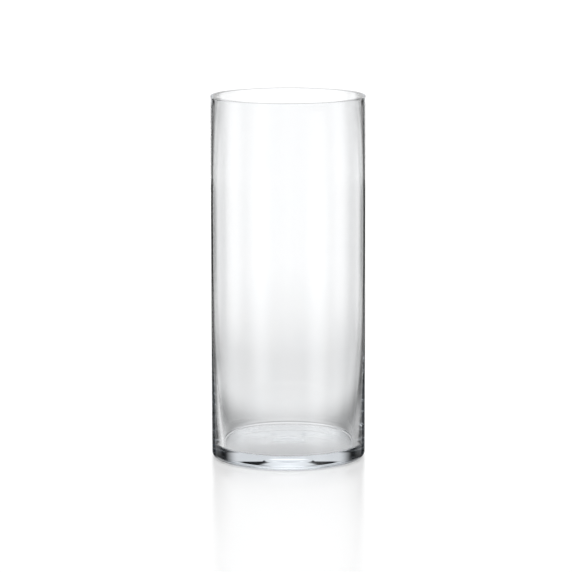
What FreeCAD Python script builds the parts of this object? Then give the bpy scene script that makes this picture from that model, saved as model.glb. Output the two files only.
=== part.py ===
"""Glass cylinder vase: one piece of clear blown glass, turned about the Z axis.

Millimetres, +Z up. The origin is the centre of the foot, on the plane that the vase stands on.
The glass is one continuous body. Its zones are the rim, wall, inner corner, inner floor, pontil
dimple, kick-up, foot ring and heel, and each has its own function below, in order round the profile.
"""

import FreeCAD, Part

import math
import os

# Overall size.
OUTER_DIAMETER = 127.0
HEIGHT = 300.0

# Wall: blown glass is thick where it was cut at the rim, thin in the middle, and thickest at the floor.
RIM_WALL = 4.6
MIDDLE_WALL = 1.8
BASE_WALL = 8.0

# A taper's power is 1 for a straight one. A higher power keeps the wall thin for longer.
RIM_TAPER_LENGTH = 68.0
RIM_TAPER_POWER = 1.3
BASE_TAPER_LENGTH = 150.0
BASE_TAPER_POWER = 2.8
TAPER_STEPS = 24

# Rim: cut and polished flat, with a small round on each edge.
RIM_ROUND = 0.5

# Base: thick solid floor, with a tight inner corner, wider than it is tall, and a round outer heel.
FLOOR_THICKNESS = 10.8
FLOOR_DISH = 1.0
CORNER_WIDTH = 4.0
CORNER_HEIGHT = 2.0
HEEL_RADIUS = 4.6

# Underside: flat foot ring, shallow kick-up inside it, and a polished pontil dimple at the middle.
FOOT_RING_WIDTH = 8.5
KICK_UP = 0.8
PONTIL_DIAMETER = 29.2
PONTIL_DEPTH = 0.6

OUTER_RADIUS = OUTER_DIAMETER / 2
RIM_INNER_RADIUS = OUTER_RADIUS - RIM_WALL
MIDDLE_INNER_RADIUS = OUTER_RADIUS - MIDDLE_WALL
BASE_INNER_RADIUS = OUTER_RADIUS - BASE_WALL
FOOT_OUTER_RADIUS = OUTER_RADIUS - HEEL_RADIUS
FOOT_INNER_RADIUS = FOOT_OUTER_RADIUS - FOOT_RING_WIDTH
PONTIL_RADIUS = PONTIL_DIAMETER / 2
FLOOR_RADIUS = BASE_INNER_RADIUS - CORNER_WIDTH
CORNER_TOP = FLOOR_THICKNESS + CORNER_HEIGHT
FLOOR_MIDDLE = FLOOR_THICKNESS - FLOOR_DISH
PONTIL_TOP = KICK_UP + PONTIL_DEPTH

NODE = "glass_body"


def point(radius, height):
    """A point of the profile, which lies in the XZ plane."""
    return FreeCAD.Vector(radius, 0, height)


def line(start, end):
    return Part.LineSegment(start, end).toShape()


def quarter_round(start, centre, end):
    """A quarter circle from start to end about centre."""
    outward = (start - centre) + (end - centre)
    middle = centre + outward.normalize() * (start - centre).Length
    return Part.Arc(start, middle, end).toShape()


def dish(edge, middle):
    """The half of a spherical cap's arc that runs between its edge and its middle, on the axis."""
    sag = edge.z - middle.z
    sphere_radius = (edge.x ** 2 + sag ** 2) / (2 * sag)
    centre_height = middle.z + sphere_radius
    half_way = math.asin(edge.x / sphere_radius) / 2
    between = point(sphere_radius * math.sin(half_way), centre_height - sphere_radius * math.cos(half_way))
    return Part.Arc(edge, between, middle).toShape()


def taper(thick, thin, power):
    """The inside of the wall between a thick end and the thin stretch, from thick to thin."""
    points = []
    for step in range(TAPER_STEPS + 1):
        along = step / TAPER_STEPS
        extra = (thick.x - thin.x) * (1 - along) ** power
        points.append(point(thin.x + extra, thick.z + (thin.z - thick.z) * along))
    curve = Part.BSplineCurve()
    curve.interpolate(points)
    return curve.toShape()


def outer_wall():
    """The upright outside, from the heel to the rim."""
    return [line(point(OUTER_RADIUS, HEEL_RADIUS), point(OUTER_RADIUS, HEIGHT - RIM_ROUND))]


def rim():
    """The flat polished lip, from the outer edge to the inner one."""
    outer_face = OUTER_RADIUS - RIM_ROUND
    inner_face = RIM_INNER_RADIUS + RIM_ROUND
    below = HEIGHT - RIM_ROUND
    return [
        quarter_round(point(OUTER_RADIUS, below), point(outer_face, below), point(outer_face, HEIGHT)),
        line(point(outer_face, HEIGHT), point(inner_face, HEIGHT)),
        quarter_round(point(inner_face, HEIGHT), point(inner_face, below), point(RIM_INNER_RADIUS, below)),
    ]


def inner_wall():
    """The inside of the wall, down from the rim: it thins, runs straight, and thickens at the base."""
    rim_edge = point(RIM_INNER_RADIUS, HEIGHT - RIM_ROUND)
    thin_top = point(MIDDLE_INNER_RADIUS, HEIGHT - RIM_TAPER_LENGTH)
    thin_bottom = point(MIDDLE_INNER_RADIUS, CORNER_TOP + BASE_TAPER_LENGTH)
    corner = point(BASE_INNER_RADIUS, CORNER_TOP)
    return [
        taper(rim_edge, thin_top, RIM_TAPER_POWER),
        line(thin_top, thin_bottom),
        taper(corner, thin_bottom, BASE_TAPER_POWER),
    ]


def inner_corner():
    """The quarter ellipse where the wall meets the floor."""
    centre = point(FLOOR_RADIUS, CORNER_TOP)
    side = point(BASE_INNER_RADIUS, CORNER_TOP)
    bottom = point(FLOOR_RADIUS, FLOOR_THICKNESS)
    ellipse = Part.Ellipse(side, bottom, centre)
    return [Part.ArcOfEllipse(ellipse, 0, math.pi / 2).toShape()]


def inner_floor():
    """The floor inside, dished a little towards the middle."""
    return [dish(point(FLOOR_RADIUS, FLOOR_THICKNESS), point(0, FLOOR_MIDDLE))]


def axis():
    """The line of the axis through the base, which closes the profile."""
    return [line(point(0, FLOOR_MIDDLE), point(0, PONTIL_TOP))]


def pontil_dimple():
    """The ground hollow left where the blower's rod was cracked off."""
    return [dish(point(PONTIL_RADIUS, KICK_UP), point(0, PONTIL_TOP))]


def kick_up():
    """The shallow cone of the underside between the pontil dimple and the foot ring, clear of the table."""
    return [line(point(PONTIL_RADIUS, KICK_UP), point(FOOT_INNER_RADIUS, 0))]


def foot_ring():
    """The flat ring that the vase stands on."""
    return [line(point(FOOT_INNER_RADIUS, 0), point(FOOT_OUTER_RADIUS, 0))]


def heel():
    """The round between the foot ring and the outer wall."""
    centre = point(FOOT_OUTER_RADIUS, HEEL_RADIUS)
    return [quarter_round(point(FOOT_OUTER_RADIUS, 0), centre, point(OUTER_RADIUS, HEEL_RADIUS))]


def profile():
    zones = [outer_wall, rim, inner_wall, inner_corner, inner_floor]
    zones += [axis, pontil_dimple, kick_up, foot_ring, heel]
    edges = [edge for zone in zones for edge in zone()]
    return Part.Face(Part.Wire(edges))


def glass_body():
    return profile().revolve(FreeCAD.Vector(0, 0, 0), FreeCAD.Vector(0, 0, 1), 360)


def main():
    os.makedirs("parts", exist_ok=True)
    body = glass_body()
    body.exportStep("parts/" + NODE + ".step")
    print(NODE, "valid:", body.isValid(), "volume cm3:", round(body.Volume / 1000, 1))


main()
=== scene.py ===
"""Glass cylinder vase: the clear blown glass body, on a pale floor among studio light panels.

Metres, +Z up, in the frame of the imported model. The vase stands on z = 0, with its axis on Z.
"""

import bpy
import math

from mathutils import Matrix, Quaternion, Vector


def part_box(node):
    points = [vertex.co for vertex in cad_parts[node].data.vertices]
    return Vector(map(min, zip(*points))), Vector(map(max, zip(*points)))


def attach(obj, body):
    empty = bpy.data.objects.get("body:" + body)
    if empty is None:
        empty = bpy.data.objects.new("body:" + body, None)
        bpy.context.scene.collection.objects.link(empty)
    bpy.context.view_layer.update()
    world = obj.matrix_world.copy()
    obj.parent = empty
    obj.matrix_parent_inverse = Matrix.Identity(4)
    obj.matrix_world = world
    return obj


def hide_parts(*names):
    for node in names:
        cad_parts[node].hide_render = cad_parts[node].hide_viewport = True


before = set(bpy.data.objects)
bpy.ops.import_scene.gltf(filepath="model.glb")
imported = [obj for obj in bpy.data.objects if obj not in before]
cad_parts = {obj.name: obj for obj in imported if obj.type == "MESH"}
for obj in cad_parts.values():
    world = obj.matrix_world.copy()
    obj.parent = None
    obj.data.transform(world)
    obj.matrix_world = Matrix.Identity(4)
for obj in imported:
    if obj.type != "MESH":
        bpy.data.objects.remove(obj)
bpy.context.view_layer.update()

MM = 0.001

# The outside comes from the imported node, so that it is the size that the CAD says.
NODE = "glass_body"
NODE_LOW, NODE_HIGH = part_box(NODE)
OUTER_RADIUS = (NODE_HIGH.x - NODE_LOW.x) / 2
HEIGHT = NODE_HIGH.z

# Wall: thick at the rim, thin in the middle, and thickest at the floor.
RIM_WALL = 4.6 * MM
MIDDLE_WALL = 1.8 * MM
BASE_WALL = 8 * MM
RIM_TAPER_LENGTH = 68 * MM
RIM_TAPER_POWER = 1.3
BASE_TAPER_LENGTH = 150 * MM
BASE_TAPER_POWER = 2.8
RIM_ROUND = 0.5 * MM

# Base: a thick dished floor, an inner corner wider than it is tall, and a round outer heel.
FLOOR_THICKNESS = 10.8 * MM
FLOOR_DISH = 1 * MM
CORNER_WIDTH = 4 * MM
CORNER_HEIGHT = 2 * MM
HEEL_RADIUS = 4.6 * MM

# Underside: a flat foot ring, a shallow cone inside it, and a pontil dimple at the middle.
FOOT_RING_WIDTH = 8.5 * MM
KICK_UP = 0.8 * MM
PONTIL_RADIUS = 14.6 * MM
PONTIL_DEPTH = 0.6 * MM

# Mesh: how many segments the glass is turned in, and how many steps each stretch of its profile has.
SEGMENTS = 288
PONTIL_STEPS = 10
KICK_UP_STEPS = 12
FOOT_STEPS = 4
HEEL_STEPS = 16
OUTSIDE_STEPS = 40
RIM_ROUND_STEPS = 6
LIP_STEPS = 4
RIM_TAPER_STEPS = 30
MIDDLE_STEPS = 12
BASE_TAPER_STEPS = 50
CORNER_STEPS = 20
DISH_STEPS = 20
SAME_POINT = 0.001 * MM

# Glass: clear, with a cool tint that shows only through its depth, and a very slight cloudiness.
GLASS_INDEX = 1.52
GLASS_DEPTH_COLOUR = (0.7, 0.85, 1, 1)
GLASS_DEPTH_DENSITY = 2.5
GLASS_CLOUD_SCALE = 9
GLASS_CLOUD_COOL = (0.985, 0.993, 1, 1)
WHITE = (1, 1, 1, 1)

# Floor: a disc under the foot, and the rest. The glass sees the disc and, in place of the rest, the panels.
# The disc glows less than the rest: a painted shade under the foot, seen through the glass.
FLOOR_TONE = 0.9
FLOOR_CLOUD_SCALE = 14
FLOOR_SMOOTHEST = 0.17
FLOOR_ROUGHEST = 0.23
NEAR_FLOOR_RADIUS = 0.0632
NEAR_FLOOR_PAINTED_SHADE_GLOW = 0.33
FAR_FLOOR_RADIUS = 6
FAR_FLOOR_GLOW = 0.47
FLOOR_GAP = 0.1 * MM
FLOOR_STEPS = 128

# Light: a level of 1 is the white of the page. Angles are in degrees, up from the horizon or sideways
# from straight behind the vase. A pair of angles is a soft edge, from outside a panel to inside it.
DARK_LEVEL = 0.01
FRONT_LEVEL = 0.08
FRONT_EDGE = (95, 130)
GROUND_LEVEL = 0.6
GROUND_TOP = (-18, -24)
BELOW_LEVEL = 1
BELOW_TOP = (-42, -52)
SKY_LEVEL = 0.7
SKY_FOOT = (32, 44)

# The upper panel behind the vase, and a bright spot on it.
BACK_LEVEL = 0.76
BACK_EDGE = (46, 30)
BACK_FOOT = (-1, 6)
SPOT_LEVEL = 1.4
SPOT_EDGE = (10.5, 6.5)
SPOT_LOW = 11
SPOT_HIGH = 15

# The window straight behind the vase. It fades sideways, darkens downward, and is narrowest at its waist.
WINDOW_LEVEL = 1.17
WINDOW_FADE = 0.3
WINDOW_FADE_POWER = 1.3
WINDOW_DROP = 0.06
WINDOW_SOFT = 3
WINDOW_HALF = 9.5
WINDOW_FOOT = (-22, -16)
WINDOW_TOP = (8, 4)
WAIST_TOP = -8
WAIST_FOOT = -9
UPPER_SPREAD = 3.5
UPPER_REACH = 2.5
LOWER_SPREAD = 2.5
LOWER_REACH = 4

# A panel at each side of the window, beyond a dark gap.
SIDE_LEVEL = 0.6
SIDE_GAP = 18
SIDE_INNER_EDGE = (-3, 3)
SIDE_OUTER_EDGE = (64, 52)
SIDE_FOOT = (-15, -11)
SIDE_TOP = (2, -1)

# Smaller windows for looking from the right, from the back left and from the front right: the bearing of
# each one's middle, and its lowest and highest elevation. From elsewhere the glass is seen against the dark.
OTHER_WINDOWS = [(-90, -13, 6), (135, -28, -6), (-45, -40, -17)]
OTHER_LEVEL = 1.1
OTHER_EDGE = (24, 2)
BAND_SOFT = 2

# What the camera sees past the vase, in place of the panels.
SEEN_LEVEL = 1.1

# Camera: a long lens, a little above the rim, looking down at the middle of the vase.
CAMERA_DISTANCE = 2.769
CAMERA_PITCH = 9.35
CAMERA_ROLL = -0.093
CAMERA_LENS = 211.6
CAMERA_SENSOR = 36
AIM = Vector((-1.84 * MM, 0, 0.474 * HEIGHT))
BOUNCES = 32


def arc(centre, across, up, start, end, steps):
    """Points of an elliptical arc, with half-axes across and up, between two angles in degrees."""
    angles = [math.radians(start + (end - start) * i / steps) for i in range(steps + 1)]
    return [(centre[0] + across * math.cos(a), centre[1] + up * math.sin(a)) for a in angles]


def straight(start, end, steps):
    shares = [i / steps for i in range(steps + 1)]
    return [(start[0] + (end[0] - start[0]) * t, start[1] + (end[1] - start[1]) * t) for t in shares]


def taper(thick, thin, power, steps):
    """The inside of the wall between a thick end and the thin stretch, from thick to thin."""
    points = []
    for i in range(steps + 1):
        t = i / steps
        extra = (thick[0] - thin[0]) * (1 - t) ** power
        points.append((thin[0] + extra, thick[1] + (thin[1] - thick[1]) * t))
    return points


def cap(edge_radius, edge_height, middle_height, steps):
    """A spherical cap's arc from its edge to its middle, on the axis."""
    sag = edge_height - middle_height
    sphere = (edge_radius ** 2 + sag ** 2) / (2 * sag)
    half_angle = math.asin(edge_radius / abs(sphere))
    points = []
    for i in range(steps + 1):
        angle = half_angle * (1 - i / steps)
        height = middle_height + sphere * (1 - math.cos(angle))
        points.append((abs(sphere) * math.sin(angle), height))
    return points


def glass_profile():
    """Radius and height of the profile, from the middle of the underside round to the middle of the floor."""
    rim_inner = OUTER_RADIUS - RIM_WALL
    middle_inner = OUTER_RADIUS - MIDDLE_WALL
    base_inner = OUTER_RADIUS - BASE_WALL
    foot_outer = OUTER_RADIUS - HEEL_RADIUS
    foot_inner = foot_outer - FOOT_RING_WIDTH
    floor_radius = base_inner - CORNER_WIDTH
    corner_top = FLOOR_THICKNESS + CORNER_HEIGHT
    lip = HEIGHT - RIM_ROUND
    thin_top = (middle_inner, HEIGHT - RIM_TAPER_LENGTH)
    thin_bottom = (middle_inner, corner_top + BASE_TAPER_LENGTH)
    stretches = [
        cap(PONTIL_RADIUS, KICK_UP, KICK_UP + PONTIL_DEPTH, PONTIL_STEPS)[::-1],
        straight((PONTIL_RADIUS, KICK_UP), (foot_inner, 0), KICK_UP_STEPS),
        straight((foot_inner, 0), (foot_outer, 0), FOOT_STEPS),
        arc((foot_outer, HEEL_RADIUS), HEEL_RADIUS, HEEL_RADIUS, -90, 0, HEEL_STEPS),
        straight((OUTER_RADIUS, HEEL_RADIUS), (OUTER_RADIUS, lip), OUTSIDE_STEPS),
        arc((OUTER_RADIUS - RIM_ROUND, lip), RIM_ROUND, RIM_ROUND, 0, 90, RIM_ROUND_STEPS),
        straight((OUTER_RADIUS - RIM_ROUND, HEIGHT), (rim_inner + RIM_ROUND, HEIGHT), LIP_STEPS),
        arc((rim_inner + RIM_ROUND, lip), RIM_ROUND, RIM_ROUND, 90, 180, RIM_ROUND_STEPS),
        taper((rim_inner, lip), thin_top, RIM_TAPER_POWER, RIM_TAPER_STEPS),
        straight(thin_top, thin_bottom, MIDDLE_STEPS),
        taper((base_inner, corner_top), thin_bottom, BASE_TAPER_POWER, BASE_TAPER_STEPS)[::-1],
        arc((floor_radius, corner_top), CORNER_WIDTH, CORNER_HEIGHT, 0, -90, CORNER_STEPS),
        cap(floor_radius, FLOOR_THICKNESS, FLOOR_THICKNESS - FLOOR_DISH, DISH_STEPS),
    ]
    points = []
    for stretch in stretches:
        points += [p for p in stretch if not points or math.dist(p, points[-1]) > SAME_POINT]
    return points


def turned(name, profile):
    """A closed mesh turned about Z from a profile that starts and ends on the axis."""
    vertices = [(0, 0, profile[0][1]), (0, 0, profile[-1][1])]
    rings = []
    for radius, height in profile[1:-1]:
        rings.append(len(vertices))
        for k in range(SEGMENTS):
            angle = math.tau * k / SEGMENTS
            vertices.append((radius * math.cos(angle), radius * math.sin(angle), height))
    faces = []
    for k in range(SEGMENTS):
        following = (k + 1) % SEGMENTS
        faces.append((0, rings[0] + following, rings[0] + k))
        for low, high in zip(rings, rings[1:]):
            faces.append((low + k, low + following, high + following, high + k))
        faces.append((rings[-1] + k, rings[-1] + following, 1))
    mesh = bpy.data.meshes.new(name)
    mesh.from_pydata(vertices, [], faces)
    mesh.polygons.foreach_set("use_smooth", [True] * len(mesh.polygons))
    return added(name, mesh)


def added(name, data):
    made = bpy.data.objects.new(name, data)
    bpy.context.scene.collection.objects.link(made)
    return made


def clear_glass():
    """Clear soda-lime glass: very slightly cool in its depth, with faint cast cloudiness on its skin."""
    material = bpy.data.materials.new("clear_glass")
    material.use_nodes = True
    nodes = material.node_tree.nodes
    links = material.node_tree.links
    shader = nodes["Principled BSDF"]
    shader.inputs["Roughness"].default_value = 0
    shader.inputs["IOR"].default_value = GLASS_INDEX
    shader.inputs["Transmission Weight"].default_value = 1
    cloud = nodes.new("ShaderNodeTexNoise")
    cloud.inputs["Scale"].default_value = GLASS_CLOUD_SCALE
    tint = nodes.new("ShaderNodeValToRGB")
    tint.color_ramp.elements[0].color = GLASS_CLOUD_COOL
    tint.color_ramp.elements[1].color = WHITE
    links.new(cloud.outputs["Fac"], tint.inputs["Fac"])
    links.new(tint.outputs["Color"], shader.inputs["Base Color"])
    depth = nodes.new("ShaderNodeVolumeAbsorption")
    depth.inputs["Color"].default_value = GLASS_DEPTH_COLOUR
    depth.inputs["Density"].default_value = GLASS_DEPTH_DENSITY
    links.new(depth.outputs["Volume"], nodes["Material Output"].inputs["Volume"])
    return material


def glass_body():
    body = turned("blown_glass_body", glass_profile())
    body.data.materials.append(clear_glass())
    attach(body, "root")
    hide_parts(NODE)


def ring(name, inner, outer):
    """A flat ring of the floor, just under the level that the vase stands on."""
    vertices = []
    for k in range(FLOOR_STEPS):
        angle = math.tau * k / FLOOR_STEPS
        for radius in (inner, outer):
            vertices.append((radius * math.cos(angle), radius * math.sin(angle), -FLOOR_GAP))
    faces = []
    for k in range(FLOOR_STEPS):
        following = (k + 1) % FLOOR_STEPS
        faces.append((2 * k, 2 * k + 1, 2 * following + 1, 2 * following))
    mesh = bpy.data.meshes.new(name)
    mesh.from_pydata(vertices, [], faces)
    made = added(name, mesh)
    return made


def floor_material(name, glow):
    """Smooth pale acrylic with a faint glow of its own, and very faint cloudiness in its gloss. A weaker glow
    on the disc under the foot is a painted shade.
    """
    material = bpy.data.materials.new(name)
    material.use_nodes = True
    nodes = material.node_tree.nodes
    links = material.node_tree.links
    shader = nodes["Principled BSDF"]
    shader.inputs["Base Color"].default_value = (FLOOR_TONE, FLOOR_TONE, FLOOR_TONE, 1)
    shader.inputs["Emission Color"].default_value = WHITE
    shader.inputs["Emission Strength"].default_value = glow
    cloud = nodes.new("ShaderNodeTexNoise")
    cloud.inputs["Scale"].default_value = FLOOR_CLOUD_SCALE
    gloss = nodes.new("ShaderNodeMapRange")
    gloss.inputs["To Min"].default_value = FLOOR_SMOOTHEST
    gloss.inputs["To Max"].default_value = FLOOR_ROUGHEST
    links.new(cloud.outputs["Fac"], gloss.inputs["Value"])
    links.new(gloss.outputs["Result"], shader.inputs["Roughness"])
    return material


def floor():
    # The disc under the foot glows less than the rest of the floor: a painted shade, seen through the glass.
    near = ring("near_floor_painted_shade", 0, NEAR_FLOOR_RADIUS)
    near.data.materials.append(floor_material("near_floor_painted_shade", NEAR_FLOOR_PAINTED_SHADE_GLOW))
    far = ring("far_floor", NEAR_FLOOR_RADIUS, FAR_FLOOR_RADIUS)
    far.data.materials.append(floor_material("far_floor", FAR_FLOOR_GLOW))
    far.visible_transmission = False
    far.visible_glossy = False


class Graph:
    """Short spellings for the world's shader nodes."""

    def __init__(self, tree):
        self.nodes = tree.nodes
        self.links = tree.links

    def fill(self, socket, value):
        if isinstance(value, (int, float)):
            socket.default_value = value
        else:
            self.links.new(value, socket)

    def math(self, operation, *values):
        node = self.nodes.new("ShaderNodeMath")
        node.operation = operation
        for socket, value in zip(node.inputs, values):
            self.fill(socket, value)
        return node.outputs[0]

    def step(self, value, start, end):
        """A soft step, from 0 at start to 1 at end. It falls where end is less than start."""
        node = self.nodes.new("ShaderNodeMapRange")
        node.interpolation_type = "SMOOTHSTEP"
        self.fill(node.inputs["Value"], value)
        self.fill(node.inputs["From Min"], start)
        self.fill(node.inputs["From Max"], end)
        return node.outputs["Result"]

    def blend(self, below, above, *masks):
        """Above laid over below, as far as every mask lets it."""
        share = masks[0]
        for mask in masks[1:]:
            share = self.math("MULTIPLY", share, mask)
        return self.math("ADD", below, self.math("MULTIPLY", self.math("SUBTRACT", above, below), share))


def directions(graph):
    """The bearing from straight behind the vase, and the elevation, both in degrees."""
    place = graph.nodes.new("ShaderNodeTexCoord")
    split = graph.nodes.new("ShaderNodeSeparateXYZ")
    graph.links.new(place.outputs["Generated"], split.inputs[0])
    east, north, up = split.outputs
    bearing = graph.math("DEGREES", graph.math("ARCTAN2", east, north))
    return bearing, graph.math("DEGREES", graph.math("ARCSINE", up))


def band(graph, elevation, low, high):
    """Two masks that keep the light between two elevations, with soft ends."""
    return (
        graph.step(elevation, low - BAND_SOFT, low + BAND_SOFT),
        graph.step(elevation, high + BAND_SOFT, high - BAND_SOFT),
    )


def held(graph, value, most):
    """The value, kept from 0 to most."""
    return graph.math("MINIMUM", graph.math("MAXIMUM", value, 0), most)


def side_panels(graph, level, sideways, elevation, width):
    inner = graph.math("SUBTRACT", sideways, graph.math("ADD", width, SIDE_GAP))
    return graph.blend(
        level, SIDE_LEVEL,
        graph.step(inner, *SIDE_INNER_EDGE), graph.step(sideways, *SIDE_OUTER_EDGE),
        graph.step(elevation, *SIDE_FOOT), graph.step(elevation, *SIDE_TOP),
    )


def main_window(graph, level, sideways, elevation):
    """The window straight behind the vase, laid over the side panels."""
    above = held(graph, graph.math("SUBTRACT", elevation, WAIST_TOP), UPPER_REACH)
    below = held(graph, graph.math("SUBTRACT", WAIST_FOOT, elevation), LOWER_REACH)
    spread = graph.math(
        "ADD", graph.math("MULTIPLY", above, UPPER_SPREAD), graph.math("MULTIPLY", below, LOWER_SPREAD)
    )
    width = graph.math("ADD", WINDOW_HALF, spread)
    level = side_panels(graph, level, sideways, elevation, width)
    share = graph.math("MINIMUM", graph.math("DIVIDE", sideways, width), 1)
    fade = graph.math("MULTIPLY", WINDOW_FADE, graph.math("POWER", share, WINDOW_FADE_POWER))
    middle = graph.math("SUBTRACT", WINDOW_LEVEL, graph.math("MULTIPLY", below, WINDOW_DROP))
    window = graph.math("MULTIPLY", middle, graph.math("SUBTRACT", 1, fade))
    beyond = graph.math("SUBTRACT", sideways, width)
    return graph.blend(
        level, window,
        graph.step(beyond, WINDOW_SOFT, -WINDOW_SOFT),
        graph.step(elevation, *WINDOW_FOOT), graph.step(elevation, *WINDOW_TOP),
    )


def other_windows(graph, level, bearing, elevation):
    for centre, low, high in OTHER_WINDOWS:
        away = graph.math("ABSOLUTE", graph.math("SUBTRACT", bearing, centre))
        masks = band(graph, elevation, low, high)
        level = graph.blend(level, OTHER_LEVEL, graph.step(away, *OTHER_EDGE), *masks)
    return level


def studio_light():
    """Dark surroundings with bright panels behind the vase. The camera sees plain white in their place."""
    world = bpy.data.worlds.new("studio")
    bpy.context.scene.world = world
    world.use_nodes = True
    graph = Graph(world.node_tree)
    bearing, elevation = directions(graph)
    sideways = graph.math("ABSOLUTE", bearing)
    level = graph.blend(DARK_LEVEL, FRONT_LEVEL, graph.step(sideways, *FRONT_EDGE))
    level = graph.blend(level, GROUND_LEVEL, graph.step(elevation, *GROUND_TOP))
    level = graph.blend(level, BELOW_LEVEL, graph.step(elevation, *BELOW_TOP))
    back_foot = graph.step(elevation, *BACK_FOOT)
    level = graph.blend(level, BACK_LEVEL, graph.step(sideways, *BACK_EDGE), back_foot)
    level = main_window(graph, level, sideways, elevation)
    spot = band(graph, elevation, SPOT_LOW, SPOT_HIGH)
    level = graph.blend(level, SPOT_LEVEL, graph.step(sideways, *SPOT_EDGE), *spot)
    level = graph.blend(level, SKY_LEVEL, graph.step(elevation, *SKY_FOOT))
    level = other_windows(graph, level, bearing, elevation)
    seen = graph.nodes.new("ShaderNodeLightPath")
    level = graph.blend(level, SEEN_LEVEL, seen.outputs["Is Camera Ray"])
    graph.links.new(level, graph.nodes["Background"].inputs["Strength"])
    graph.nodes["Background"].inputs["Color"].default_value = WHITE


def camera():
    made = added("camera", bpy.data.cameras.new("camera"))
    made.data.lens = CAMERA_LENS
    made.data.sensor_width = CAMERA_SENSOR
    pitch = math.radians(CAMERA_PITCH)
    forward = Vector((0, math.cos(pitch), -math.sin(pitch)))
    made.location = AIM - forward * CAMERA_DISTANCE
    made.rotation_mode = "QUATERNION"
    roll = Quaternion((0, 0, 1), math.radians(CAMERA_ROLL))
    made.rotation_quaternion = forward.to_track_quat("-Z", "Y") @ roll
    bpy.context.scene.camera = made


def light_paths():
    """Enough bounces for light to cross the thick glass."""
    scene = bpy.context.scene
    scene.view_settings.view_transform = "Standard"
    scene.cycles.max_bounces = BOUNCES
    scene.cycles.transmission_bounces = BOUNCES
    scene.cycles.glossy_bounces = BOUNCES


def main():
    glass_body()
    floor()
    studio_light()
    camera()
    light_paths()


main()
